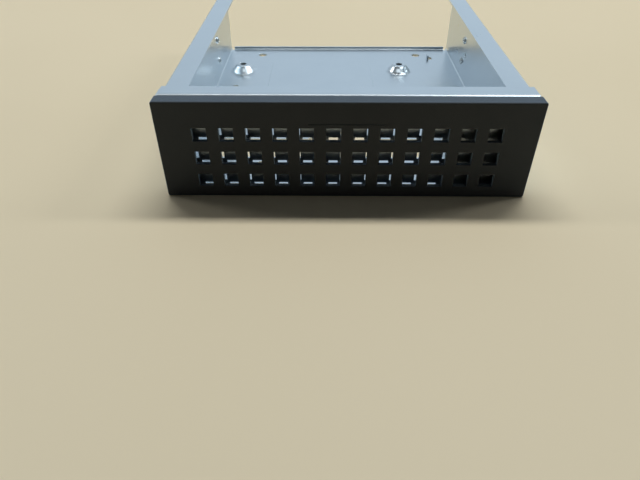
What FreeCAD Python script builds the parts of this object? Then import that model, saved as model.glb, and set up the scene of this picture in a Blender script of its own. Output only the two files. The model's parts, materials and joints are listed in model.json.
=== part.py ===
import FreeCAD, Part
import math
import os
import re
import Sketcher

# A 5.25-inch bay carrier that holds one 3.5-inch drive: a moulded vented bezel screwed to a
# folded, perforated front plate, which is riveted to a folded and pressed sheet-steel tray.
# Inside each body the bezel's front face is the plane Y = 0, X runs to the right and Z up from
# the underside. Every body is then moved forward so that the whole is centred on the origin.

SIZES = (
    ("overall_depth", 176.0, "bezel face to the tray's rear edge"),
    ("sheet_gauge", 1.0, "thickness of the steel sheet"),
    ("bezel_width", 148.0, "width over the bezel"),
    ("bezel_height", 41.5, "height over the bezel"),
    ("bezel_depth", 6.0, "bezel face to the front plate"),
    ("bezel_wall", 2.0, "wall of the bezel's face"),
    ("bezel_rim", 2.0, "wall of the bezel's rim"),
    ("bezel_corner", 0.8, "radius of the bezel's four corners"),
    ("bezel_edge", 0.5, "radius round the bezel's face"),
    ("vent_side", 5.7, "side of a square vent"),
    ("vent_pitch", 10.4, "spacing of the vent columns"),
    ("vent_row_pitch", 10.15, "spacing of the vent rows"),
    ("vent_first_row", 7.75, "height of the lowest vent row"),
    ("vent_columns", 12, "vent columns"),
    ("vent_rows", 3, "vent rows"),
    ("mark_width", 29.6, "length of the fine groove above the vents"),
    ("mark_height", 0.3, "width of that groove"),
    ("mark_cut", 0.25, "depth of that groove"),
    ("mark_level", 32.6, "height of that groove"),
    ("screw_inset", 6.0, "screws from the bezel's side"),
    ("screw_rise", 8.0, "lower screws from the underside"),
    ("screw_drop", 7.5, "upper screws from the top"),
    ("post_width", 6.4, "width and height of a screw post"),
    ("post_bore", 3.0, "bore of a screw post"),
    ("post_floor", 0.8, "plastic left under the bore"),
    ("screw_clearance", 0.1, "screw shank in its bore, across"),
    ("screw_hole", 3.4, "screw hole in the front plate"),
    ("screw_length", 3.8, "screw under its head"),
    ("screw_head", 5.5, "diameter of the screw head"),
    ("screw_head_height", 1.6, "height of the screw head"),
    ("plate_return", 9.0, "depth of the front plate's flanges"),
    ("plate_bend", 2.0, "outer bend radius of the front plate"),
    ("grille_columns", 10, "columns of small square holes"),
    ("grille_rows", 3, "rows of small square holes"),
    ("grille_side", 3.7, "side of a small square hole"),
    ("grille_first_row", 11.75, "height of the lowest small row"),
    ("stagger_side", 4.6, "side of a large square hole"),
    ("stagger_rows", 2, "rows of large square holes"),
    ("foot_slot_height", 3.0, "slots in the plate's lower edge"),
    ("corner_gap", 0.1, "gap along the plate's open corners"),
    ("tray_clearance", 0.2, "tray edge behind the plate's bend"),
    ("tray_bend", 1.8, "outer bend radius of the tray"),
    ("flange_reach", 10.2, "tray's top flanges, from its side"),
    ("lip_height", 2.5, "height of the rear lip"),
    ("lip_gap", 1.5, "bend relief beside the lip"),
    ("lip_gap_length", 2.6, "length of that relief"),
    ("lip_end", 3.0, "lip's end from the tray's side"),
    ("bay_hole", 3.0, "bay screw hole in the walls"),
    ("bay_spacing", 79.25, "bay holes, front to rear"),
    ("bay_rise", 11.84, "bay holes, low to high"),
    ("bay_low_row", 10.0, "height of the lower bay holes"),
    ("bay_rear_row", 129.5, "rear bay holes, from the face"),
    ("drive_centre", -11.5, "drive's centre line"),
    ("drive_spacing_across", 95.25, "drive holes, side to side"),
    ("drive_spacing_along", 44.45, "drive holes, front to rear"),
    ("drive_setback", 39.3, "rear drive holes, from the rear edge"),
    ("boss_base", 17.0, "diameter of a boss at the floor"),
    ("boss_top", 6.4, "diameter of a boss at its top"),
    ("boss_rise", 4.2, "height of a boss over the floor"),
    ("boss_foot_run", 1.5, "width of the soft bend at its foot"),
    ("boss_foot_rise", 0.5, "height of that bend"),
    ("boss_crown_run", 1.1, "width of the soft bend at its top"),
    ("boss_crown_rise", 0.5, "height of that bend"),
    ("drive_hole", 3.8, "hole in a boss"),
    ("window_width", 98.0, "floor window, side to side"),
    ("window_front", 30.0, "floor window's front edge"),
    ("window_rear", 48.5, "floor window's rear edge"),
    ("scoop_radius", 20.0, "round bay of the floor window"),
    ("scoop_row", 38.0, "centre of that bay"),
    ("lead_hole", 6.0, "small hole in front of the window"),
    ("lead_hole_across", -37.0, "that hole, across"),
    ("lead_hole_along", 24.0, "that hole, from the face"),
    ("panel_width", 61.0, "stiffening panel, side to side"),
    ("panel_front", 66.0, "stiffening panel's front edge"),
    ("panel_setback", 24.0, "stiffening panel, from the rear edge"),
    ("panel_corner", 5.0, "corner radius of the panel"),
    ("panel_rise", 0.4, "rise of the panel"),
    ("pilot_hole", 3.3, "pilot hole in the floor"),
    ("pilot_across", -60.8, "pilot hole, across"),
    ("pilot_setback", 63.5, "pilot hole, from the rear edge"),
    ("rear_hole", 5.0, "holes near the lip"),
    ("rear_hole_spacing", 100.0, "those holes, side to side"),
    ("rear_hole_setback", 12.3, "those holes, from the rear edge"),
    ("lug_across", 57.4, "lug's right face, across"),
    ("lug_setback", 16.0, "lug's rear edge, from the rear edge"),
    ("lug_length", 3.4, "length of the lug"),
    ("lug_rise", 2.2, "height of the lug over the floor"),
    ("lug_slot", 2.2, "width of the slot that it was cut from"),
    ("lug_relief", 0.3, "slot past the lug's ends"),
    ("pip_along", 122.5, "coined mark in the right wall, from the face"),
    ("pip_level", 15.6, "height of that mark"),
    ("pip_size", 2.6, "diameter of that mark"),
    ("pip_cut", 0.5, "depth of that mark"),
    ("rivet_hole", 3.0, "rivet hole"),
    ("rivet_clearance", 0.1, "rivet shank in its hole, across"),
    ("rivet_rise", 12.0, "lower rivets from the underside"),
    ("rivet_drop", 11.5, "upper rivets from the top"),
    ("rivet_head", 5.0, "diameter of a rivet head"),
    ("rivet_dome", 0.9, "height of a rivet head"),
)

ALL_ACROSS = "bezel_width"       # the length of a cut that passes both side walls
TRAY_FRONT = "bezel_depth + plate_bend + tray_clearance"

# The rivets sit midway in the overlap of the plate's flanges and the tray's walls.
RIVET_ALONG = f"({TRAY_FRONT} + bezel_depth + plate_return) / 2"
RIVET_ROWS = {"low": "rivet_rise", "high": "bezel_height - rivet_drop"}

doc = FreeCAD.newDocument("drive_caddy")
sheet = doc.addObject("Spreadsheet::Sheet", "Sizes")
for row, (alias, value, meaning) in enumerate(SIZES, start=1):
    sheet.set(f"A{row}", alias)
    sheet.set(f"B{row}", str(value))
    sheet.setAlias(f"B{row}", alias)
    sheet.set(f"C{row}", meaning)
doc.recompute()


def bound(formula):
    """A formula in the sheet's aliases, written as an expression of the document."""
    return re.sub(r"(?<![\w.])([a-z]+_[a-z_]+)", r"Sizes.\1", formula)


def value_of(formula):
    return float(sheet.evalExpression(bound(formula)))


# ---------------------------------------------------------------- sketches

def new_body(label):
    body = doc.addObject("PartDesign::Body", label)
    body.Label = label
    body.setExpression("Placement.Base.y", bound("-overall_depth / 2"))
    return body


def new_sketch(body, name, plane, level="0"):
    """A sketch on an origin plane of the body, moved along the plane's axis to a level."""
    sketch = body.newObject("Sketcher::SketchObject", name)
    support = [part for part in body.Origin.OriginFeatures if part.Role == plane][0]
    sketch.AttachmentSupport = (support, [""])
    sketch.MapMode = "FlatFace"
    sign = "-" if plane == "XZ_Plane" else ""
    sketch.setExpression("AttachmentOffset.Base.z", bound(f"{sign}({level})"))
    return sketch


def fix_point(sketch, geometry, end, across, up):
    for kind, formula in (("DistanceX", across), ("DistanceY", up)):
        constraint = Sketcher.Constraint(kind, -1, 1, geometry, end, value_of(formula))
        index = sketch.addConstraint(constraint)
        sketch.setExpression(f"Constraints[{index}]", bound(formula))


def fix_radius(sketch, geometry, formula):
    index = sketch.addConstraint(Sketcher.Constraint("Radius", geometry, value_of(formula)))
    sketch.setExpression(f"Constraints[{index}]", bound(formula))


def polygon(sketch, corners):
    """A closed chain of lines; each corner is a pair of formulas."""
    points = [FreeCAD.Vector(value_of(across), value_of(up), 0) for across, up in corners]
    lines = []
    for index, point in enumerate(points):
        after = points[(index + 1) % len(points)]
        lines.append(sketch.addGeometry(Part.LineSegment(point, after), False))
    for index, line in enumerate(lines):
        after = lines[(index + 1) % len(lines)]
        sketch.addConstraint(Sketcher.Constraint("Coincident", line, 2, after, 1))
        fix_point(sketch, line, 1, *corners[index])


def rectangle(sketch, left, right, low, high):
    polygon(sketch, ((left, low), (right, low), (right, high), (left, high)))


def square(sketch, across, up, side):
    rectangle(sketch, f"{across} - ({side}) / 2", f"{across} + ({side}) / 2",
              f"{up} - ({side}) / 2", f"{up} + ({side}) / 2")


def circle(sketch, across, up, diameter):
    centre = FreeCAD.Vector(value_of(across), value_of(up), 0)
    shape = Part.Circle(centre, FreeCAD.Vector(0, 0, 1), value_of(diameter) / 2)
    index = sketch.addGeometry(shape, False)
    fix_point(sketch, index, 3, across, up)
    fix_radius(sketch, index, f"({diameter}) / 2")


# ---------------------------------------------------------------- features

def extrude(body, kind, name, sketch, length, towards_normal=True):
    """A Pad or a Pocket of a given length, along the sketch's normal or against it."""
    feature = body.newObject(f"PartDesign::{kind}", name)
    feature.Profile = sketch
    feature.setExpression("Length", bound(length))
    feature.Reversed = not towards_normal if kind == "Pad" else towards_normal
    doc.recompute()
    return feature


def pad(body, name, sketch, length, towards_normal=True):
    return extrude(body, "Pad", name, sketch, length, towards_normal)


def pocket(body, name, sketch, length, towards_normal=False):
    """A Pocket that has to take material away."""
    before = body.Shape.Volume
    feature = extrude(body, "Pocket", name, sketch, length, towards_normal)
    if body.Shape.Volume >= before:
        raise RuntimeError(f"{name} cuts nothing")
    return feature


def pattern(body, name, feature, sketch, across, up=None):
    """Repeats a feature along the sketch's own axes; across and up are (pitch, count)."""
    repeat = body.newObject("PartDesign::LinearPattern", name)
    repeat.Originals = [feature]
    repeat.Direction = (sketch, ["H_Axis"])
    repeat.setExpression("Length", bound(f"({across[0]}) * (({across[1]}) - 1)"))
    repeat.setExpression("Occurrences", bound(across[1]))
    if up:
        repeat.Direction2 = (sketch, ["V_Axis"])
        repeat.setExpression("Length2", bound(f"({up[0]}) * (({up[1]}) - 1)"))
        repeat.setExpression("Occurrences2", bound(up[1]))
    body.Tip = repeat
    doc.recompute()
    return repeat


def mirror(body, name, features):
    """Repeats features on the other side of the centre plane."""
    repeat = body.newObject("PartDesign::Mirrored", name)
    repeat.Originals = features
    plane = [part for part in body.Origin.OriginFeatures if part.Role == "YZ_Plane"][0]
    repeat.MirrorPlane = (plane, [""])
    body.Tip = repeat
    doc.recompute()
    return repeat


def near(first, second):
    return abs(first - second) < 1e-4


def straight_edges(body, axis, **places):
    """Names of the body's straight edges along an axis whose middle has these coordinates."""
    chosen = []
    for index, edge in enumerate(body.Tip.Shape.Edges, start=1):
        if len(edge.Vertexes) != 2:
            continue
        span = edge.Vertexes[1].Point - edge.Vertexes[0].Point
        middle = (edge.Vertexes[0].Point + edge.Vertexes[1].Point) / 2
        straight = near(span.Length, edge.Length) and near(abs(getattr(span, axis)), edge.Length)
        if straight and all(near(getattr(middle, key), value) for key, value in places.items()):
            chosen.append(f"Edge{index}")
    return chosen


def fillet(body, name, edges, radius):
    base = body.Tip
    feature = body.newObject("PartDesign::Fillet", name)
    feature.Base = (base, edges)
    feature.setExpression("Radius", bound(radius))
    doc.recompute()
    return feature


def revolve(body, name, sketch, axis, kind="Revolution"):
    feature = body.newObject(f"PartDesign::{kind}", name)
    feature.Profile = sketch
    feature.ReferenceAxis = (sketch, [axis])
    feature.Angle = 360
    doc.recompute()
    return feature


# ---------------------------------------------------------------- bezel

def make_bezel():
    body = new_body("bezel")
    face = new_sketch(body, "bezel_outline", "XZ_Plane")
    rectangle(face, "-bezel_width / 2", "bezel_width / 2", "0", "bezel_height")
    pad(body, "bezel_block", face, "bezel_depth", towards_normal=False)

    half = value_of("bezel_width / 2")
    top = value_of("bezel_height")
    corners = []
    for side in (-half, half):
        for level in (0.0, top):
            corners += straight_edges(body, "y", x=side, z=level)
    fillet(body, "bezel_corners", corners, "bezel_corner")
    front = straight_edges(body, "x", y=0.0) + straight_edges(body, "z", y=0.0)
    fillet(body, "bezel_edges", front, "bezel_edge")

    hollow = new_sketch(body, "hollow_outline", "XZ_Plane", "bezel_wall")
    inner = "bezel_width / 2 - bezel_rim"
    rectangle(hollow, f"-({inner})", inner, "bezel_rim", "bezel_height - bezel_rim")
    pocket(body, "hollow_back", hollow, "bezel_depth")

    add_posts(body)
    add_vents(body)
    add_mark(body)
    return body


def screw_places():
    """Name, across and up of each bezel screw."""
    for side, sign in (("left", "-"), ("right", "")):
        for level, up in (("low", "screw_rise"), ("high", "bezel_height - screw_drop")):
            yield f"{side}_{level}", f"{sign}(bezel_width / 2 - screw_inset)", up


def add_posts(body):
    posts = new_sketch(body, "post_outline", "XZ_Plane", "bezel_wall / 2")
    bores = new_sketch(body, "post_bores", "XZ_Plane", "bezel_wall / 2 + post_floor")
    for place, across, up in screw_places():
        square(posts, across, up, "post_width")
        circle(bores, across, up, "post_bore")
    pad(body, "screw_posts", posts, "bezel_depth - bezel_wall / 2", towards_normal=False)
    pocket(body, "screw_bores", bores, "bezel_depth")


def add_vents(body):
    vent = new_sketch(body, "vent_outline", "XZ_Plane")
    first = "-vent_pitch * (vent_columns - 1) / 2"
    square(vent, first, "vent_first_row", "vent_side")
    cut = pocket(body, "vent", vent, "bezel_wall")
    pattern(body, "vents", cut, vent,
            ("vent_pitch", "vent_columns"), ("vent_row_pitch", "vent_rows"))


def add_mark(body):
    line = new_sketch(body, "mark_outline", "XZ_Plane")
    rectangle(line, "-mark_width / 2", "mark_width / 2",
              "mark_level - mark_height / 2", "mark_level + mark_height / 2")
    pocket(body, "mark_groove", line, "mark_cut")


# ---------------------------------------------------------------- front plate

def make_front_plate():
    body = new_body("front_plate")
    half = "bezel_width / 2"
    outside = new_sketch(body, "plate_outline", "XZ_Plane", "bezel_depth")
    rectangle(outside, f"-{half}", half, "0", "bezel_height")
    pad(body, "plate_block", outside, "plate_return", towards_normal=False)
    round_box(body, "plate_bends", half, "bezel_height", "bezel_depth", "plate_bend")

    inside = new_sketch(body, "plate_inside", "XZ_Plane", "bezel_depth + sheet_gauge")
    inner = f"{half} - sheet_gauge"
    rectangle(inside, f"-({inner})", inner, "-sheet_gauge", "bezel_height - sheet_gauge")
    pocket(body, "plate_hollow", inside, "plate_return")
    round_box(body, "plate_inner_bends", inner, "bezel_height - sheet_gauge",
              "bezel_depth + sheet_gauge", "plate_bend - sheet_gauge")

    open_corners(body)
    add_grille(body)
    add_plate_holes(body)
    return body


def round_box(body, name, half, top, front, radius):
    """Bends on the upright and top front edges of a box that is open below and behind."""
    side, level, face = value_of(half), value_of(top), value_of(front)
    edges = straight_edges(body, "x", y=face, z=level)
    for across in (-side, side):
        edges += straight_edges(body, "z", x=across, y=face)
    fillet(body, name, edges, radius)


def open_corners(body):
    """Parts the top flange from the side flanges: each ends at the other's inner face."""
    strip = new_sketch(body, "corner_outline", "XZ_Plane", "bezel_depth")
    inner = "bezel_width / 2 - sheet_gauge - corner_gap"
    rectangle(strip, inner, "bezel_width / 2 + sheet_gauge",
              "bezel_height - sheet_gauge - corner_gap", "bezel_height + sheet_gauge")
    cut = pocket(body, "open_corner", strip, "plate_return")
    mirror(body, "open_corners", [cut])


def add_grille(body):
    """Small squares in line with the vents, and larger ones staggered between them.

    The middle row of large squares runs out past the small ones by half a pitch at each end.
    """
    first = "-vent_pitch * (vent_columns - 1) / 2"
    squares = (
        ("small_square", first, "grille_first_row", "grille_side",
         "grille_columns", "grille_rows", "vent_pitch"),
        ("large_square", f"{first} + vent_pitch / 2", "grille_first_row - vent_pitch / 2",
         "stagger_side", "grille_columns - 1", "stagger_rows", "2 * vent_pitch"),
        ("middle_square", f"{first} - vent_pitch / 2", "grille_first_row + vent_pitch / 2",
         "stagger_side", "grille_columns + 1", None, None),
    )
    for name, across, up, side, columns, rows, rise in squares:
        sketch = new_sketch(body, f"{name}_outline", "XZ_Plane", "bezel_depth")
        square(sketch, across, up, side)
        cut = pocket(body, name, sketch, "sheet_gauge")
        upward = (rise, rows) if rows else None
        pattern(body, f"{name}s", cut, sketch, ("vent_pitch", columns), upward)

    slot = new_sketch(body, "foot_slot_outline", "XZ_Plane", "bezel_depth")
    rectangle(slot, f"{first} - grille_side / 2", f"{first} + grille_side / 2",
              "-sheet_gauge", "foot_slot_height")
    cut = pocket(body, "foot_slot", slot, "sheet_gauge")
    pattern(body, "foot_slots", cut, slot, ("vent_pitch", "grille_columns"))


def add_plate_holes(body):
    screws = new_sketch(body, "plate_screw_holes", "XZ_Plane", "bezel_depth")
    for place, across, up in screw_places():
        circle(screws, across, up, "screw_hole")
    pocket(body, "screw_holes", screws, "sheet_gauge")
    add_rivet_holes(body)


def add_rivet_holes(body):
    """Rivet holes through both sides of a body, cut across its whole width."""
    holes = new_sketch(body, f"{body.Label}_rivet_outline", "YZ_Plane", "-bezel_width / 2")
    for row in RIVET_ROWS.values():
        circle(holes, RIVET_ALONG, row, "rivet_hole")
    pocket(body, f"{body.Label}_rivet_holes", holes, ALL_ACROSS, towards_normal=True)


# ---------------------------------------------------------------- tray

TRAY_SIDE = "bezel_width / 2 - sheet_gauge"
TRAY_TOP = "bezel_height - sheet_gauge"
TRAY_LENGTH = f"overall_depth - ({TRAY_FRONT})"


def make_tray():
    body = new_body("tray")
    outside = new_sketch(body, "tray_outline", "XZ_Plane", TRAY_FRONT)
    rectangle(outside, f"-({TRAY_SIDE})", TRAY_SIDE, "0", TRAY_TOP)
    pad(body, "tray_block", outside, TRAY_LENGTH, towards_normal=False)
    round_channel(body, "tray_bends", TRAY_SIDE, "0", TRAY_TOP, "tray_bend")

    inside = new_sketch(body, "tray_inside", "XZ_Plane", TRAY_FRONT)
    inner = f"{TRAY_SIDE} - sheet_gauge"
    ceiling = f"{TRAY_TOP} - sheet_gauge"
    rectangle(inside, f"-({inner})", inner, "sheet_gauge", ceiling)
    pocket(body, "tray_hollow", inside, TRAY_LENGTH)
    round_channel(body, "tray_inner_bends", inner, "sheet_gauge", ceiling,
                  "tray_bend - sheet_gauge")

    mouth = new_sketch(body, "mouth_outline", "XZ_Plane", TRAY_FRONT)
    edge = f"{TRAY_SIDE} - flange_reach"
    rectangle(mouth, f"-({edge})", edge, f"{ceiling} - sheet_gauge", "bezel_height")
    pocket(body, "tray_mouth", mouth, TRAY_LENGTH)

    add_lip(body)
    add_panel(body)
    add_bosses(body)
    add_window(body)
    add_floor_holes(body)
    add_lug(body)
    add_pip(body)
    add_bay_holes(body)
    add_rivet_holes(body)
    return body


def round_channel(body, name, half, low, high, radius):
    """Bends on the four long edges of a channel."""
    side = value_of(half)
    edges = []
    for across in (-side, side):
        for level in (value_of(low), value_of(high)):
            edges += straight_edges(body, "y", x=across, z=level)
    fillet(body, name, edges, radius)


def add_lip(body):
    """The rear edge of the floor, turned up between two bend reliefs."""
    end = f"{TRAY_SIDE} - lip_end"
    relief = new_sketch(body, "lip_relief_outline", "XY_Plane", "tray_bend")
    rectangle(relief, end, f"{end} + lip_gap", "overall_depth - lip_gap_length",
              "overall_depth + sheet_gauge")
    cut = pocket(body, "lip_relief", relief, "2 * tray_bend")
    mirror(body, "lip_reliefs", [cut])

    lip = new_sketch(body, "lip_outline", "XZ_Plane", "overall_depth")
    rectangle(lip, f"-({end})", end, "sheet_gauge / 2", "lip_height")
    pad(body, "lip", lip, "sheet_gauge")
    rear = value_of("overall_depth")
    gauge = value_of("sheet_gauge")
    outer = straight_edges(body, "x", x=0.0, y=rear, z=0.0)
    fillet(body, "lip_bend", outer, "tray_bend")
    inner = straight_edges(body, "x", x=0.0, y=rear - gauge, z=gauge)
    fillet(body, "lip_inner_bend", inner, "tray_bend - sheet_gauge")


def add_panel(body):
    """A shallow stiffening panel pressed up out of the floor."""
    for name, inset, level, raised in (("panel_top", "0", "sheet_gauge", True),
                                       ("panel_underside", "sheet_gauge / 2", "0", False)):
        sketch = new_sketch(body, f"{name}_outline", "XY_Plane", level)
        rounded_rectangle(sketch,
                          f"drive_centre - panel_width / 2 + {inset}",
                          f"drive_centre + panel_width / 2 - {inset}",
                          f"panel_front + {inset}",
                          f"overall_depth - panel_setback - {inset}",
                          f"panel_corner - {inset}")
        if raised:
            pad(body, name, sketch, "panel_rise")
        else:
            pocket(body, name, sketch, "panel_rise", towards_normal=True)


def rounded_rectangle(sketch, left, right, low, high, radius):
    """Four lines and four quarter arcs, each arc's centre fixed and tangent to its lines."""
    x0, x1 = value_of(left), value_of(right)
    y0, y1 = value_of(low), value_of(high)
    r = value_of(radius)
    quarter = math.pi / 2
    centres = ((x1 - r, y0 + r), (x1 - r, y1 - r), (x0 + r, y1 - r), (x0 + r, y0 + r))
    lines = []
    arcs = []
    ends = (((x0 + r, y0), (x1 - r, y0)), ((x1, y0 + r), (x1, y1 - r)),
            ((x1 - r, y1), (x0 + r, y1)), ((x0, y1 - r), (x0, y0 + r)))
    for start, stop in ends:
        lines.append(sketch.addGeometry(
            Part.LineSegment(FreeCAD.Vector(*start, 0), FreeCAD.Vector(*stop, 0)), False))
    for index, centre in enumerate(centres):
        whole = Part.Circle(FreeCAD.Vector(*centre, 0), FreeCAD.Vector(0, 0, 1), r)
        turn = (index - 1) * quarter
        arcs.append(sketch.addGeometry(Part.ArcOfCircle(whole, turn, turn + quarter), False))
    for index in range(4):
        after = (index + 1) % 4
        sketch.addConstraint(Sketcher.Constraint("Tangent", lines[index], 2, arcs[index], 1))
        sketch.addConstraint(Sketcher.Constraint("Tangent", arcs[index], 2, lines[after], 1))
    fix_point(sketch, arcs[0], 3, f"{right} - ({radius})", f"{low} + {radius}")
    fix_point(sketch, arcs[2], 3, f"{left} + {radius}", f"{high} - ({radius})")
    fix_radius(sketch, arcs[0], radius)
    sketch.addConstraint(Sketcher.Constraint("Equal", arcs[0], arcs[1]))
    sketch.addConstraint(Sketcher.Constraint("Equal", arcs[0], arcs[2]))
    sketch.addConstraint(Sketcher.Constraint("Equal", arcs[0], arcs[3]))
    for index, kind in enumerate(("Horizontal", "Vertical", "Horizontal", "Vertical")):
        sketch.addConstraint(Sketcher.Constraint(kind, lines[index]))


def boss_places():
    """Across and along of each drive boss."""
    for side in ("-", "+"):
        across = f"drive_centre {side} drive_spacing_across / 2"
        for back in ("0", "1"):
            yield across, f"overall_depth - drive_setback - {back} * drive_spacing_along"


def boss_outside(across):
    """Half a section of a boss: a cone with a soft bend at its foot and its top."""
    top = "sheet_gauge + boss_rise"
    return ((across, "sheet_gauge / 2"),
            (f"{across} + boss_base / 2", "sheet_gauge / 2"),
            (f"{across} + boss_base / 2", "sheet_gauge"),
            (f"{across} + boss_base / 2 - boss_foot_run", "sheet_gauge + boss_foot_rise"),
            (f"{across} + boss_top / 2 + boss_crown_run", f"{top} - boss_crown_rise"),
            (f"{across} + boss_top / 2", top),
            (across, top))


def boss_inside(across):
    """Half a section of the hollow under a boss, which keeps the sheet's thickness."""
    return ((across, "-sheet_gauge"),
            (f"{across} + boss_base / 2 - boss_foot_run", "-sheet_gauge"),
            (f"{across} + boss_base / 2 - boss_foot_run", "0"),
            (f"{across} + boss_top / 2", "boss_rise"),
            (across, "boss_rise"))


def add_bosses(body):
    """Four pressed cones that lift the drive clear of the floor, hollow underneath."""
    for number, (across, along) in enumerate(boss_places(), start=1):
        cone = new_sketch(body, f"boss_profile_{number}", "XZ_Plane", along)
        polygon(cone, boss_outside(across))
        revolve(body, f"boss_{number}", cone, boss_axis(cone, across))
        core = new_sketch(body, f"boss_core_profile_{number}", "XZ_Plane", along)
        polygon(core, boss_inside(across))
        revolve(body, f"boss_core_{number}", core, boss_axis(core, across), "Groove")
    holes = new_sketch(body, "drive_hole_outline", "XY_Plane", "sheet_gauge + boss_rise")
    for across, along in boss_places():
        circle(holes, across, along, "drive_hole")
    pocket(body, "drive_holes", holes, "2 * sheet_gauge")


def boss_axis(sketch, across):
    """Adds the upright line that a boss turns about, and gives its name as an axis."""
    place = value_of(across)
    low, high = FreeCAD.Vector(place, 0, 0), FreeCAD.Vector(place, 1, 0)
    index = sketch.addGeometry(Part.LineSegment(low, high), True)
    fix_point(sketch, index, 1, across, "0")
    fix_point(sketch, index, 2, across, "boss_rise")
    return "Axis0"


def add_window(body):
    """The window in the front of the floor, with a round bay in its rear edge."""
    sketch = new_sketch(body, "window_outline", "XY_Plane", "sheet_gauge")
    left, right = "drive_centre - window_width / 2", "drive_centre + window_width / 2"
    rectangle(sketch, left, right, "window_front", "window_rear")
    pocket(body, "floor_window", sketch, "sheet_gauge")
    bay = new_sketch(body, "scoop_outline", "XY_Plane", "sheet_gauge")
    rear = value_of("window_rear")
    radius = value_of("scoop_radius")
    row_level = value_of("scoop_row")
    reach = (radius ** 2 - (rear - row_level) ** 2) ** 0.5
    chord = bay.addGeometry(Part.LineSegment(FreeCAD.Vector(-reach, rear, 0),
                                             FreeCAD.Vector(reach, rear, 0)), False)
    whole = Part.Circle(FreeCAD.Vector(0, row_level, 0), FreeCAD.Vector(0, 0, 1), radius)
    start = whole.parameter(FreeCAD.Vector(reach, rear, 0))
    stop = whole.parameter(FreeCAD.Vector(-reach, rear, 0))
    arc = bay.addGeometry(Part.ArcOfCircle(whole, start, stop), False)
    bay.addConstraint(Sketcher.Constraint("Coincident", chord, 2, arc, 1))
    bay.addConstraint(Sketcher.Constraint("Coincident", arc, 2, chord, 1))
    bay.addConstraint(Sketcher.Constraint("Horizontal", chord))
    fix_point(bay, arc, 3, "0", "scoop_row")
    fix_radius(bay, arc, "scoop_radius")
    level = bay.addConstraint(Sketcher.Constraint("DistanceY", -1, 1, chord, 1, rear))
    bay.setExpression(f"Constraints[{level}]", bound("window_rear"))
    pocket(body, "window_scoop", bay, "sheet_gauge")


def add_floor_holes(body):
    sketch = new_sketch(body, "floor_hole_outline", "XY_Plane", "sheet_gauge")
    circle(sketch, "lead_hole_across", "lead_hole_along", "lead_hole")
    circle(sketch, "pilot_across", "overall_depth - pilot_setback", "pilot_hole")
    for sign in ("-", ""):
        circle(sketch, f"{sign}rear_hole_spacing / 2", "overall_depth - rear_hole_setback",
               "rear_hole")
    pocket(body, "floor_holes", sketch, "sheet_gauge")


def add_lug(body):
    """A small lug cut from a slot in the floor and bent upright beside it."""
    rear = "overall_depth - lug_setback"
    slot = new_sketch(body, "lug_slot_outline", "XY_Plane", "sheet_gauge")
    rectangle(slot, "lug_across", "lug_across + lug_slot",
              f"{rear} - lug_length - lug_relief", f"{rear} + lug_relief")
    pocket(body, "lug_slot_cut", slot, "sheet_gauge")
    lug = new_sketch(body, "lug_outline", "XY_Plane", "sheet_gauge / 2")
    rectangle(lug, "lug_across - sheet_gauge", "lug_across", f"{rear} - lug_length", rear)
    pad(body, "lug", lug, "sheet_gauge / 2 + lug_rise")


def add_pip(body):
    """A small round mark coined into the inside of the right wall."""
    mark = new_sketch(body, "pip_outline", "YZ_Plane", f"{TRAY_SIDE} - sheet_gauge")
    circle(mark, "pip_along", "pip_level", "pip_size")
    pocket(body, "pip", mark, "pip_cut", towards_normal=True)


def add_bay_holes(body):
    """Screw holes of the drive bay, through both walls."""
    holes = new_sketch(body, "bay_hole_outline", "YZ_Plane", "-bezel_width / 2")
    for back in ("0", "1"):
        for up in ("0", "1"):
            circle(holes, f"bay_rear_row - {back} * bay_spacing",
                   f"bay_low_row + {up} * bay_rise", "bay_hole")
    pocket(body, "bay_holes", holes, ALL_ACROSS, towards_normal=True)


# ---------------------------------------------------------------- fasteners

def make_screw(place, across, up):
    """A pan-head screw from inside the plate into a post; its axis runs along Y."""
    body = new_body(f"bezel_screw_{place}")
    profile = new_sketch(body, f"screw_profile_{place}", "XY_Plane")
    shank = "(post_bore - screw_clearance) / 2"
    tip = "-screw_length"
    polygon(profile, (("0", tip),
                      (shank, tip),
                      (shank, "0"),
                      ("screw_head / 2", "0"),
                      ("screw_head / 2", "screw_head_height"),
                      ("0", "screw_head_height")))
    revolve(body, f"screw_{place}", profile, "V_Axis")
    body.setExpression("Placement.Base.x", bound(across))
    body.setExpression("Placement.Base.y",
                       bound("bezel_depth + sheet_gauge - overall_depth / 2"))
    body.setExpression("Placement.Base.z", bound(up))
    return body


def make_rivet(side, level):
    """A rivet through a flange of the plate and the tray's wall, its dome inside the tray."""
    body = new_body(f"rivet_{side}_{level}")
    profile = new_sketch(body, f"rivet_profile_{side}_{level}", "XY_Plane")
    shank = "(rivet_hole - rivet_clearance) / 2"
    polygon(profile, (("2 * sheet_gauge", "0"),
                      ("2 * sheet_gauge", shank),
                      ("0", shank),
                      ("0", "rivet_head / 2"),
                      ("-rivet_dome", "rivet_head / 4"),
                      ("-rivet_dome", "0")))
    revolve(body, f"rivet_turned_{side}_{level}", profile, "H_Axis")
    inner = "bezel_width / 2 - 2 * sheet_gauge"
    if side == "left":
        body.Placement.Rotation = FreeCAD.Rotation(FreeCAD.Vector(0, 0, 1), 180)
        inner = f"-({inner})"
    body.setExpression("Placement.Base.x", bound(inner))
    body.setExpression("Placement.Base.y", bound(f"{RIVET_ALONG} - overall_depth / 2"))
    body.setExpression("Placement.Base.z", bound(RIVET_ROWS[level]))
    return body


# ---------------------------------------------------------------- build and write

bodies = [make_bezel(), make_front_plate(), make_tray()]
for place, across, up in screw_places():
    bodies.append(make_screw(place, across, up))
for side in ("left", "right"):
    for level in ("low", "high"):
        bodies.append(make_rivet(side, level))
doc.recompute()

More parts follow.
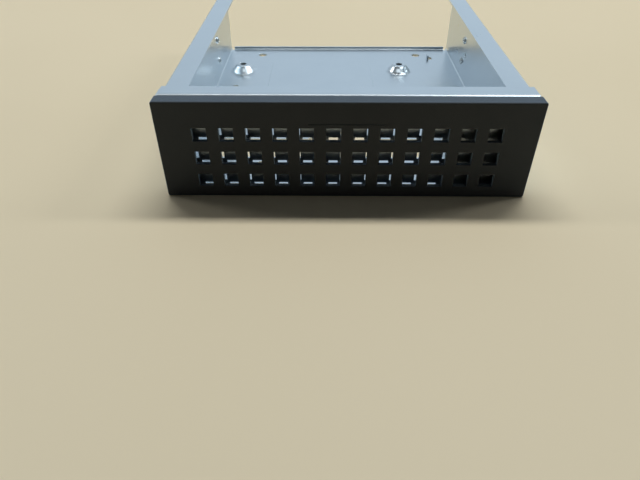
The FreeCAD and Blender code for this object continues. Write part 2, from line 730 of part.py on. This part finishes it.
for item in doc.Objects:
    if "Invalid" in item.State or "Error" in item.State:
        raise RuntimeError(f"{item.Label} is {item.State}")
for body in bodies:
    if body.Shape.isNull() or not body.Shape.isValid() or len(body.Shape.Solids) != 1:
        raise RuntimeError(f"{body.Label} is not one valid solid")

os.makedirs("parts", exist_ok=True)
for body in bodies:
    body.Shape.exportStep(f"parts/{body.Label}.step")
    print(body.Label, round(body.Shape.Volume, 2))
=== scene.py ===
import json
import math

import bmesh
import bpy
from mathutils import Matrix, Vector


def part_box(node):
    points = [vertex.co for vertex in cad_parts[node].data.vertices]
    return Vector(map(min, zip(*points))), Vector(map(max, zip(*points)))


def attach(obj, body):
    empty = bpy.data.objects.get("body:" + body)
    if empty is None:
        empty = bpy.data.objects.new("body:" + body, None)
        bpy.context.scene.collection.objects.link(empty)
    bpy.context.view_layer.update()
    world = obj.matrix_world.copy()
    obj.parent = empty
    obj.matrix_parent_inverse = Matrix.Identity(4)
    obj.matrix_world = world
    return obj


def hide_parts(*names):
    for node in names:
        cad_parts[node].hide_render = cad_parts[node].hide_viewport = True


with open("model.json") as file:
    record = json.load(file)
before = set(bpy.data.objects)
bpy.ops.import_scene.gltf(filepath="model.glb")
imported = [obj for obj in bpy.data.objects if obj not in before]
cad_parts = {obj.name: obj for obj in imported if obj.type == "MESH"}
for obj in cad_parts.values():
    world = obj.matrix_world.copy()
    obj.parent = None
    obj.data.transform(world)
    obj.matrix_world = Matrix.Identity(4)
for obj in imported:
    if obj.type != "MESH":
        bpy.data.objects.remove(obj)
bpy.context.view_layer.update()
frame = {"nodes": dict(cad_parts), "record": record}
nodes = frame["nodes"]

# ---------------------------------------------------------------- sizes, in metres

MM = 0.001

# camera, in the part's frame
CAMERA_PLACE = (-7.96 * MM, -273.64 * MM, 124.96 * MM)
CAMERA_TURN = (51.358, 0.137, 0.694)    # degrees about X, Y and Z
CAMERA_LENS = 30.024                    # millimetres on a 36 mm wide sensor

# the solids' own sizes that the added pieces meet
SHEET = 1.0 * MM
BAY_HOLE_RADIUS = 1.5 * MM

# studio floor
FLOOR_WIDTH = 8.0
FLOOR_GAP = 0.05 * MM                   # keeps the floor off the part's flat underside

# studio air, from in front of the part to behind it
AIR_STOPS = ((0.0, (0.014, 0.013, 0.012)), (0.35, (0.055, 0.060, 0.064)),
             (0.80, (0.42, 0.50, 0.57)), (1.0, (0.62, 0.735, 0.84)))
AIR_BRIGHTEST = (0.07, 0.998, 0.0)      # direction of the brightest air

# row of ceiling lights behind the part; strips are (name, place across, watts)
ROW_BACK = 0.47
ROW_HEIGHT = 1.35
STRIP_SIZE = (1.2, 0.16)
STRIP_COLOUR = (1.0, 0.98, 0.94)
STRIPS = (("strip_left", -1.75, 6.0), ("strip_middle", 0.05, 2.6), ("strip_right", 1.85, 10.5))
OVERHEAD_ACROSS = 0.05
OVERHEAD_SIZE = (1.3, 0.16)
OVERHEAD_POWER = 10.9                   # watts
OVERHEAD_COLOUR = (1.0, 0.98, 0.93)

# soft boxes that show only in reflections: (name, place, size, watts)
SHEEN_COLOUR = (0.86, 0.95, 1.0)
SHEENS = (("front_sheen", (-0.1, -0.79, 1.2), (1.2, 0.6), 3.2),
          ("side_sheen_left", (-1.25, 0.35, 1.05), (0.9, 0.6), 4.5),
          ("side_sheen_right", (1.0, 0.1, 1.2), (1.25, 1.4), 16.0))

# weak light on the bezel's face
FILL_PLACE = (0, -0.79, 1.2)
FILL_SIZE = (0.8, 0.4)
FILL_POWER = 0.35                       # watts
FILL_COLOUR = (1.0, 0.95, 0.88)

# edges
WELD = 0.001 * MM                       # vertices closer than this are one
FLAT_TURN = 0.3                         # degrees: faces nearer than this are one face
EDGE_TURN = 50.0                        # degrees: sharper edges than this get a bevel
SHEARED_EDGE = 0.05 * MM                # break along the sheet's cut edges
MOULDED_EDGE = 0.10 * MM                # break along the bezel's edges and vents
TURNED_STEPS = 48                       # sides of a turned piece
DOME_STEPS = 6                          # rings of a rounded shoulder

# raised panel of the tray's floor
PANEL_RISE = 0.4 * MM
PANEL_EASE = 0.19 * MM                  # how far the pressing rounds the panel's step

# bezel screws
SCREW_CORE_RADIUS = 1.10 * MM
SCREW_CREST_RADIUS = 1.42 * MM
SCREW_PITCH = 0.70 * MM
SCREW_TURNS = 4
SCREW_LENGTH = 3.8 * MM
SCREW_TIP = 0.45 * MM
SCREW_TIP_SHARE = 0.7                   # the tip's radius as a share of the core's
SCREW_FIRST_TURN = 0.4                  # radians: where the first screw stopped
SCREW_NEXT_TURN = 0.83                  # radians: how much further each next one stopped
THREAD_STEPS = 32
THREAD_FLANK = 0.8                      # the thread's foot as a share of its pitch
THREAD_SINK = 0.98                      # the thread's foot radius as a share of the core's
SCREW_HEAD_RADIUS = 2.75 * MM
SCREW_HEAD_HEIGHT = 1.6 * MM
SCREW_HEAD_SIDE = 0.55 * MM             # upright part of the head's side
SCREW_CROWN_RADIUS = 1.5 * MM           # flat middle of the head
RECESS_ARM = 1.35 * MM
RECESS_WIDTH = 0.60 * MM
RECESS_DEPTH = 1.0 * MM
RECESS_CLEAR = 1.0 * MM                 # how far the cutter stands out of the head
RECESS_DRAFT = 0.72                     # the recess's foot as a share of its mouth

# rivets
RIVET_SHANK_RADIUS = 1.45 * MM
RIVET_HEAD_RADIUS = 2.5 * MM
RIVET_DOME = 0.9 * MM
RIVET_EYE_RADIUS = 0.8 * MM
RIVET_EYE_DEPTH = 0.5 * MM
RIVET_EYE_TAPER = 0.92                  # the eye's foot as a share of its mouth
RIVET_TAIL_EDGE = 0.2 * MM

# collars raised round the bay holes when they were threaded
COLLAR_RADIUS = 2.15 * MM
COLLAR_TOP_RADIUS = 1.85 * MM
COLLAR_HEIGHT = 0.7 * MM


# ---------------------------------------------------------------- modelling kit

def only(piece):
    """Selects one piece and makes it the active one."""
    bpy.ops.object.select_all(action="DESELECT")
    piece.select_set(True)
    bpy.context.view_layer.objects.active = piece


def open_mesh(piece):
    """Goes into edit mode with nothing selected."""
    only(piece)
    bpy.ops.object.mode_set(mode="EDIT")
    bpy.ops.mesh.select_all(action="DESELECT")


def close_mesh():
    bpy.ops.object.mode_set(mode="OBJECT")


def select_faces(piece, wanted):
    """Selects the faces that pass a test, in edit mode."""
    bpy.ops.mesh.select_mode(type="FACE")
    shape = bmesh.from_edit_mesh(piece.data)
    for face in shape.faces:
        face.select_set(wanted(face))
    bmesh.update_edit_mesh(piece.data)


def apply_modifiers(piece):
    only(piece)
    for modifier in list(piece.modifiers):
        bpy.ops.object.modifier_apply(modifier=modifier.name)


def fix_place(piece):
    """Moves a piece's place, turn and size into its mesh."""
    only(piece)
    bpy.ops.object.transform_apply(location=True, rotation=True, scale=True)


def turn_rings(name, rings):
    """A turned piece about Z, drawn out ring by ring; rings are (radius, height)."""
    radius, height = rings[0]
    bpy.ops.object.select_all(action="DESELECT")
    bpy.ops.mesh.primitive_circle_add(vertices=TURNED_STEPS, radius=radius,
                                      location=(0, 0, height))
    piece = bpy.context.object
    piece.name = name
    fix_place(piece)
    bpy.ops.object.mode_set(mode="EDIT")
    bpy.ops.mesh.select_mode(type="EDGE")
    bpy.ops.mesh.select_all(action="SELECT")
    for next_radius, next_height in rings[1:]:
        bpy.ops.mesh.extrude_edges_move(
            TRANSFORM_OT_translate={"value": (0, 0, next_height - height)})
        share = next_radius / radius
        bpy.ops.transform.resize(value=(share, share, 1), center_override=(0, 0, next_height))
        radius, height = next_radius, next_height
    return piece


def rounded_rings(inner, outer, foot, top):
    """Rings of a rounded shoulder, from its wide foot to its narrow top."""
    rings = []
    for step in range(DOME_STEPS + 1):
        turn = step / DOME_STEPS * math.pi / 2
        rings.append((inner + (outer - inner) * math.cos(turn),
                      foot + (top - foot) * math.sin(turn)))
    return rings


def cap_ends():
    """Closes every open ring of the piece being edited and points its faces outwards."""
    bpy.ops.mesh.select_all(action="DESELECT")
    bpy.ops.mesh.select_mode(type="EDGE")
    bpy.ops.mesh.select_non_manifold()
    bpy.ops.mesh.edge_face_add()
    bpy.ops.mesh.select_all(action="SELECT")
    bpy.ops.mesh.normals_make_consistent(inside=False)
    close_mesh()


def soften(piece, width, segments=2):
    """Breaks the sharp edges with a fine bevel, and shades the flats flat."""
    bevel = piece.modifiers.new("edge_break", "BEVEL")
    bevel.width = width
    bevel.segments = segments
    bevel.limit_method = "ANGLE"
    bevel.angle_limit = math.radians(EDGE_TURN)
    bevel.use_clamp_overlap = False
    apply_modifiers(piece)
    smooth(piece)


def smooth(piece):
    """Shades a piece smooth between its sharp edges."""
    only(piece)
    bpy.ops.object.shade_smooth_by_angle(angle=math.radians(EDGE_TURN))
    weights = piece.modifiers.new("flat_faces", "WEIGHTED_NORMAL")
    weights.keep_sharp = True
    apply_modifiers(piece)


def join(pieces, name):
    """Joins pieces into the first one."""
    bpy.ops.object.select_all(action="DESELECT")
    for piece in pieces:
        piece.select_set(True)
    bpy.context.view_layer.objects.active = pieces[0]
    bpy.ops.object.join()
    pieces[0].name = name
    return pieces[0]


def copy_piece(piece, name):
    twin = bpy.data.objects.new(name, piece.data.copy())
    bpy.context.collection.objects.link(twin)
    return twin


def welded_copy(node):
    """A copy of a CAD node's mesh with its loose triangles joined into whole faces."""
    piece = copy_piece(nodes[node], f"{node}_finished")
    piece.data.materials.clear()
    open_mesh(piece)
    bpy.ops.mesh.select_all(action="SELECT")
    bpy.ops.mesh.remove_doubles(threshold=WELD)
    bpy.ops.mesh.dissolve_limited(angle_limit=math.radians(FLAT_TURN))
    close_mesh()
    return piece


def dress(piece, slot, node=None):
    """Gives a finished piece its finish, and puts it in its node's place if it has one."""
    piece.data.materials.clear()
    piece.data.materials.append(finishes[slot])
    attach(piece, "root")
    if node:
        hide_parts(node)


# ---------------------------------------------------------------- material kit

def new_material(name):
    material = bpy.data.materials.new(name)
    material.use_nodes = True
    tree = material.node_tree
    shader = tree.nodes["Principled BSDF"]
    return material, tree, shader


def object_place(tree, stretch=(1, 1, 1)):
    """Object coordinates, stretched along the part's axes."""
    coordinates = tree.nodes.new("ShaderNodeTexCoord")
    mapping = tree.nodes.new("ShaderNodeMapping")
    mapping.inputs["Scale"].default_value = stretch
    tree.links.new(coordinates.outputs["Object"], mapping.inputs["Vector"])
    return mapping.outputs["Vector"]


def noise(tree, place, scale, detail=4.0, roughness=0.55):
    node = tree.nodes.new("ShaderNodeTexNoise")
    node.inputs["Scale"].default_value = scale
    node.inputs["Detail"].default_value = detail
    node.inputs["Roughness"].default_value = roughness
    tree.links.new(place, node.inputs["Vector"])
    return node.outputs["Fac"]


def ramp(tree, factor, stops):
    """A colour ramp; stops are (position, colour)."""
    node = tree.nodes.new("ShaderNodeValToRGB")
    elements = node.color_ramp.elements
    while len(elements) < len(stops):
        elements.new(0.5)
    for element, (position, colour) in zip(elements, stops):
        element.position = position
        element.color = (*colour, 1.0)
    tree.links.new(factor, node.inputs["Fac"])
    return node.outputs["Color"]


def spread(tree, factor, low, high, start=0.3, stop=0.7):
    """Maps a factor onto a range of values."""
    node = tree.nodes.new("ShaderNodeMapRange")
    node.inputs["From Min"].default_value = start
    node.inputs["From Max"].default_value = stop
    node.inputs["To Min"].default_value = low
    node.inputs["To Max"].default_value = high
    tree.links.new(factor, node.inputs["Value"])
    return node.outputs["Result"]


def added(tree, first, second):
    node = tree.nodes.new("ShaderNodeMath")
    node.operation = "ADD"
    tree.links.new(first, node.inputs[0])
    tree.links.new(second, node.inputs[1])
    return node.outputs["Value"]


def bump(tree, shader, height, strength, distance):
    node = tree.nodes.new("ShaderNodeBump")
    node.inputs["Strength"].default_value = strength
    node.inputs["Distance"].default_value = distance
    tree.links.new(height, node.inputs["Height"])
    tree.links.new(node.outputs["Normal"], shader.inputs["Normal"])


# ---------------------------------------------------------------- materials

def make_bezel_plastic():
    """Black moulded plastic with a fine spark-eroded grain."""
    material, tree, shader = new_material("grained_black_plastic")
    place = object_place(tree)
    grain = noise(tree, place, 2400.0, detail=3.0, roughness=0.6)
    cloud = noise(tree, place, 45.0, detail=3.0)
    colour = ramp(tree, cloud, ((0.30, (0.0115, 0.0110, 0.0100)),
                                (0.70, (0.0160, 0.0153, 0.0140))))
    tree.links.new(colour, shader.inputs["Base Color"])
    tree.links.new(spread(tree, grain, 0.42, 0.62), shader.inputs["Roughness"])
    shader.inputs["Specular IOR Level"].default_value = 0.23
    shader.inputs["Sheen Weight"].default_value = 0.9
    shader.inputs["Sheen Roughness"].default_value = 0.5
    shader.inputs["Sheen Tint"].default_value = (0.55, 0.76, 1.0, 1.0)
    bump(tree, shader, grain, 0.75, 0.00010)
    return material


def make_zinc_sheet():
    """Rolled steel sheet with a thin bluish zinc plating."""
    material, tree, shader = new_material("zinc_plated_sheet")
    place = object_place(tree)
    rolled = noise(tree, object_place(tree, (1.0, 0.06, 1.0)), 900.0, detail=3.0)
    cloud = noise(tree, place, 38.0, detail=5.0, roughness=0.6)
    fine = noise(tree, place, 1500.0, detail=2.0)
    colour = ramp(tree, cloud, ((0.28, (0.61, 0.675, 0.72)), (0.72, (0.66, 0.725, 0.77))))
    tree.links.new(colour, shader.inputs["Base Color"])
    shader.inputs["Metallic"].default_value = 1.0
    tree.links.new(spread(tree, cloud, 0.27, 0.33), shader.inputs["Roughness"])
    bump(tree, shader, added(tree, rolled, fine), 0.16, 0.00003)
    return material


def make_screw_steel():
    """Bright plated steel."""
    material, tree, shader = new_material("bright_screw_steel")
    place = object_place(tree)
    cloud = noise(tree, place, 700.0, detail=3.0)
    colour = ramp(tree, cloud, ((0.3, (0.36, 0.38, 0.40)), (0.7, (0.48, 0.50, 0.52))))
    tree.links.new(colour, shader.inputs["Base Color"])
    shader.inputs["Metallic"].default_value = 1.0
    tree.links.new(spread(tree, cloud, 0.24, 0.38), shader.inputs["Roughness"])
    bump(tree, shader, noise(tree, place, 4000.0, detail=2.0), 0.2, 0.00002)
    return material


def make_rivet_alloy():
    """Satin aluminium."""
    material, tree, shader = new_material("satin_rivet_alloy")
    place = object_place(tree)
    cloud = noise(tree, place, 520.0, detail=3.0)
    colour = ramp(tree, cloud, ((0.3, (0.60, 0.61, 0.62)), (0.7, (0.72, 0.73, 0.74))))
    tree.links.new(colour, shader.inputs["Base Color"])
    shader.inputs["Metallic"].default_value = 1.0
    tree.links.new(spread(tree, cloud, 0.34, 0.46), shader.inputs["Roughness"])
    bump(tree, shader, noise(tree, place, 3200.0, detail=2.0), 0.2, 0.00002)
    return material


def make_studio_floor():
    material, tree, shader = new_material("studio_floor")
    place = object_place(tree)
    cloud = noise(tree, place, 3.0, detail=2.0)
    colour = ramp(tree, cloud, ((0.3, (0.76, 0.685, 0.51)), (0.7, (0.79, 0.715, 0.54))))
    tree.links.new(colour, shader.inputs["Base Color"])
    shader.inputs["Roughness"].default_value = 0.95
    shader.inputs["Specular IOR Level"].default_value = 0.0
    return material


# ---------------------------------------------------------------- sheet metal and bezel

def make_sheet_piece(node):
    piece = welded_copy(node)
    ease_panel(piece)
    soften(piece, SHEARED_EDGE)
    dress(piece, "zinc_sheet", node)


def on_panel_step(face):
    """Whether a face is part of the upright step round the floor's raised panel."""
    heights = [vertex.co.z for vertex in face.verts]
    starts_low = abs(min(heights) - SHEET) < WELD
    ends_high = abs(max(heights) - SHEET - PANEL_RISE) < WELD
    return abs(face.normal.z) < 0.1 and starts_low and ends_high


def ease_panel(piece):
    """Rounds the shallow step round the raised panel, as pressing leaves it."""
    open_mesh(piece)
    bpy.ops.mesh.select_mode(type="EDGE")
    shape = bmesh.from_edit_mesh(piece.data)
    for edge in shape.edges:
        level = abs(edge.verts[0].co.z - edge.verts[1].co.z) < WELD
        edge.select_set(level and any(on_panel_step(face) for face in edge.link_faces))
    bmesh.update_edit_mesh(piece.data)
    if any(edge.select for edge in shape.edges):
        bpy.ops.mesh.bevel(offset=PANEL_EASE, segments=3, affect="EDGES")
    close_mesh()


def make_bezel():
    piece = welded_copy("bezel")
    soften(piece, MOULDED_EDGE)
    dress(piece, "bezel_plastic", "bezel")


def bay_holes():
    """The side, height and place of the threaded bay holes, from the record's mounts."""
    for mount in frame["record"]["mounts"]:
        if not mount["name"].startswith("bay_"):
            continue
        middle = Vector(mount["pos_m"])
        along = mount["dims"]["spacing_x_mm"] * MM / 2
        rise = mount["dims"]["spacing_y_mm"] * MM / 2
        inward = -mount["axis"][0]
        for back in (-along, along):
            for up in (-rise, rise):
                yield inward, middle + Vector((inward * SHEET, back, up))


def make_collars():
    """A low collar on the inner face of each wall round every bay hole."""
    rings = ((COLLAR_RADIUS, 0.0),
             (COLLAR_TOP_RADIUS, COLLAR_HEIGHT),
             (BAY_HOLE_RADIUS, COLLAR_HEIGHT),
             (BAY_HOLE_RADIUS, 0.0),
             (COLLAR_RADIUS, 0.0))
    model = turn_rings("bay_collar", rings)
    bpy.ops.mesh.select_all(action="SELECT")
    bpy.ops.mesh.remove_doubles(threshold=WELD)
    bpy.ops.mesh.normals_make_consistent(inside=False)
    close_mesh()
    soften(model, SHEARED_EDGE)
    for number, (inward, place) in enumerate(bay_holes(), start=1):
        collar = copy_piece(model, f"bay_collar_{number}")
        collar.rotation_euler = (0, inward * math.pi / 2, 0)
        collar.location = place
        fix_place(collar)
        dress(collar, "zinc_sheet")
    bpy.data.objects.remove(model)


# ---------------------------------------------------------------- fasteners

def make_recess_cutter():
    """A tapered cross, deeper than the recess so that it cuts clear of the head's top."""
    arms = []
    middle = SCREW_HEAD_HEIGHT - RECESS_DEPTH / 2 + RECESS_CLEAR / 2
    for number, size in enumerate(((2 * RECESS_ARM, RECESS_WIDTH), (RECESS_WIDTH, 2 * RECESS_ARM))):
        bpy.ops.object.select_all(action="DESELECT")
        bpy.ops.mesh.primitive_cube_add(size=1.0, location=(0, 0, middle))
        arm = bpy.context.object
        arm.name = f"recess_arm_{number}"
        arm.scale = (*size, RECESS_DEPTH + RECESS_CLEAR)
        fix_place(arm)
        open_mesh(arm)
        select_faces(arm, lambda face: face.normal.z < -0.9)
        bpy.ops.transform.resize(value=(RECESS_DRAFT, RECESS_DRAFT, 1),
                                 center_override=(0, 0, SCREW_HEAD_HEIGHT - RECESS_DEPTH))
        close_mesh()
        arms.append(arm)
    return arms


def make_thread():
    """A V thread wound round the screw's core."""
    flank = SCREW_PITCH * THREAD_FLANK
    bpy.ops.object.select_all(action="DESELECT")
    bpy.ops.mesh.primitive_circle_add(vertices=3, radius=1.0, rotation=(math.pi / 2, 0, 0))
    thread = bpy.context.object
    thread.name = "screw_thread"
    fix_place(thread)
    crest = max(thread.data.vertices, key=lambda vertex: vertex.co.z)
    width = max(vertex.co.x for vertex in thread.data.vertices)
    foot = min(vertex.co.z for vertex in thread.data.vertices)
    depth = SCREW_CREST_RADIUS - SCREW_CORE_RADIUS
    scale_in = depth / (crest.co.z - foot)
    for vertex in thread.data.vertices:
        outward = (vertex.co.z - foot) * scale_in + SCREW_CORE_RADIUS * THREAD_SINK
        upward = vertex.co.x / width * flank / 2
        vertex.co = (outward, 0, upward - SCREW_LENGTH + SCREW_TIP + flank / 2)
    winding = thread.modifiers.new("winding", "SCREW")
    winding.axis = "Z"
    winding.screw_offset = SCREW_PITCH
    winding.iterations = SCREW_TURNS
    winding.steps = THREAD_STEPS
    winding.render_steps = THREAD_STEPS
    apply_modifiers(thread)
    open_mesh(thread)
    cap_ends()
    return thread


def make_screw_model():
    """One pan-head cross-recess screw about Z, its head's seat at the origin."""
    shank = [(SCREW_CORE_RADIUS * SCREW_TIP_SHARE, -SCREW_LENGTH),
             (SCREW_CORE_RADIUS, -SCREW_LENGTH + SCREW_TIP),
             (SCREW_CORE_RADIUS, 0.0)]
    seat = [(SCREW_HEAD_RADIUS, 0.0)]
    shoulder = rounded_rings(SCREW_CROWN_RADIUS, SCREW_HEAD_RADIUS,
                             SCREW_HEAD_SIDE, SCREW_HEAD_HEIGHT)
    screw = turn_rings("screw_model", shank + seat + shoulder)
    cap_ends()
    for arm in make_recess_cutter():
        cut = screw.modifiers.new("recess", "BOOLEAN")
        cut.operation = "DIFFERENCE"
        cut.solver = "EXACT"
        cut.object = arm
        apply_modifiers(screw)
        bpy.data.objects.remove(arm)
    smooth(screw)
    thread = make_thread()
    smooth(thread)
    return join([screw, thread], "screw_model")


def make_screws():
    """A screw in each of the plate's four corners, each stopped at its own angle."""
    model = make_screw_model()
    names = sorted(name for name in nodes if name.startswith("bezel_screw"))
    for number, name in enumerate(names):
        low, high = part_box(name)
        screw = copy_piece(model, f"{name}_finished")
        screw.rotation_euler = (0, 0, SCREW_FIRST_TURN + SCREW_NEXT_TURN * number)
        fix_place(screw)
        screw.rotation_euler = (-math.pi / 2, 0, 0)
        screw.location = ((low.x + high.x) / 2, high.y - SCREW_HEAD_HEIGHT, (low.z + high.z) / 2)
        fix_place(screw)
        dress(screw, "screw_steel", name)
    bpy.data.objects.remove(model)


def make_rivet_model():
    """One blind rivet about Z: the dome with its eye above the sheet, the tail below."""
    tail = -2 * SHEET
    shank = [(RIVET_SHANK_RADIUS - RIVET_TAIL_EDGE, tail),
             (RIVET_SHANK_RADIUS, tail + RIVET_TAIL_EDGE),
             (RIVET_SHANK_RADIUS, 0.0)]
    dome = rounded_rings(RIVET_EYE_RADIUS, RIVET_HEAD_RADIUS, 0.0, RIVET_DOME)
    eye = [(RIVET_EYE_RADIUS * RIVET_EYE_TAPER, RIVET_DOME - RIVET_EYE_DEPTH)]
    rivet = turn_rings("rivet_model", shank + dome + eye)
    cap_ends()
    smooth(rivet)
    return rivet


def make_rivets():
    """Two rivets through each side flange of the plate, their heads inside the tray's walls."""
    model = make_rivet_model()
    for name in sorted(name for name in nodes if name.startswith("rivet")):
        low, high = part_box(name)
        left = high.x < 0
        rivet = copy_piece(model, f"{name}_finished")
        rivet.rotation_euler = (0, math.pi / 2 if left else -math.pi / 2, 0)
        seat = high.x - RIVET_DOME if left else low.x + RIVET_DOME
        rivet.location = (seat, (low.y + high.y) / 2, (low.z + high.z) / 2)
        fix_place(rivet)
        dress(rivet, "rivet_alloy", name)
    bpy.data.objects.remove(model)


# ---------------------------------------------------------------- studio

def make_studio():
    bpy.ops.object.select_all(action="DESELECT")
    bpy.ops.mesh.primitive_plane_add(size=FLOOR_WIDTH, location=(0, 0, -FLOOR_GAP))
    floor = bpy.context.object
    floor.name = "studio_floor"
    floor.data.materials.append(make_studio_floor())
    make_air()
    for name, across, power in STRIPS:
        add_soft_light(name, (across, ROW_BACK, ROW_HEIGHT), (across, 0, 0),
                       STRIP_SIZE, power, STRIP_COLOUR)
    overhead = add_soft_light("overhead", (OVERHEAD_ACROSS, ROW_BACK, ROW_HEIGHT),
                              (OVERHEAD_ACROSS, 0, 0),
                              OVERHEAD_SIZE, OVERHEAD_POWER, OVERHEAD_COLOUR)
    overhead.visible_glossy = False
    for name, place, size, power in SHEENS:
        sheen = add_soft_light(name, place, (0, 0, 0), size, power, SHEEN_COLOUR)
        sheen.visible_diffuse = False
    add_soft_light("front_fill", FILL_PLACE, (0, 0, 0), FILL_SIZE, FILL_POWER, FILL_COLOUR)


def make_air():
    """Soft light from all round, brighter and bluer behind the part than in front of it."""
    world = bpy.data.worlds.new("studio_air")
    world.use_nodes = True
    tree = world.node_tree
    direction = tree.nodes.new("ShaderNodeTexCoord").outputs["Generated"]
    facing = tree.nodes.new("ShaderNodeVectorMath")
    facing.operation = "DOT_PRODUCT"
    facing.inputs[1].default_value = AIR_BRIGHTEST
    tree.links.new(direction, facing.inputs[0])
    behind = spread(tree, facing.outputs["Value"], 0.0, 1.0, start=-0.2, stop=0.95)
    colour = ramp(tree, behind, AIR_STOPS)
    tree.links.new(colour, tree.nodes["Background"].inputs["Color"])
    bpy.context.scene.world = world
    bpy.context.scene.view_settings.view_transform = "Standard"


def add_soft_light(name, place, aim, size, power, colour):
    """An oblong area light that faces its aim and is hidden from the camera."""
    light = bpy.data.lights.new(name, "AREA")
    light.shape = "RECTANGLE"
    light.size, light.size_y = size
    light.energy = power
    light.color = colour
    lamp = bpy.data.objects.new(name, light)
    bpy.context.collection.objects.link(lamp)
    lamp.location = place
    lamp.rotation_euler = (Vector(aim) - Vector(place)).to_track_quat("-Z", "Y").to_euler()
    lamp.visible_camera = False
    return lamp


def make_camera():
    data = bpy.data.cameras.new("camera")
    data.sensor_width = 36.0
    data.lens = CAMERA_LENS
    data.clip_start = 0.01
    camera = bpy.data.objects.new("camera", data)
    bpy.context.collection.objects.link(camera)
    camera.location = CAMERA_PLACE
    camera.rotation_euler = [math.radians(turn) for turn in CAMERA_TURN]
    bpy.context.scene.camera = camera


# ---------------------------------------------------------------- the caddy

finishes = {"bezel_plastic": make_bezel_plastic(),
            "zinc_sheet": make_zinc_sheet(),
            "screw_steel": make_screw_steel(),
            "rivet_alloy": make_rivet_alloy()}

make_bezel()
make_sheet_piece("front_plate")
make_sheet_piece("tray")
make_collars()
make_screws()
make_rivets()

make_studio()
make_camera()
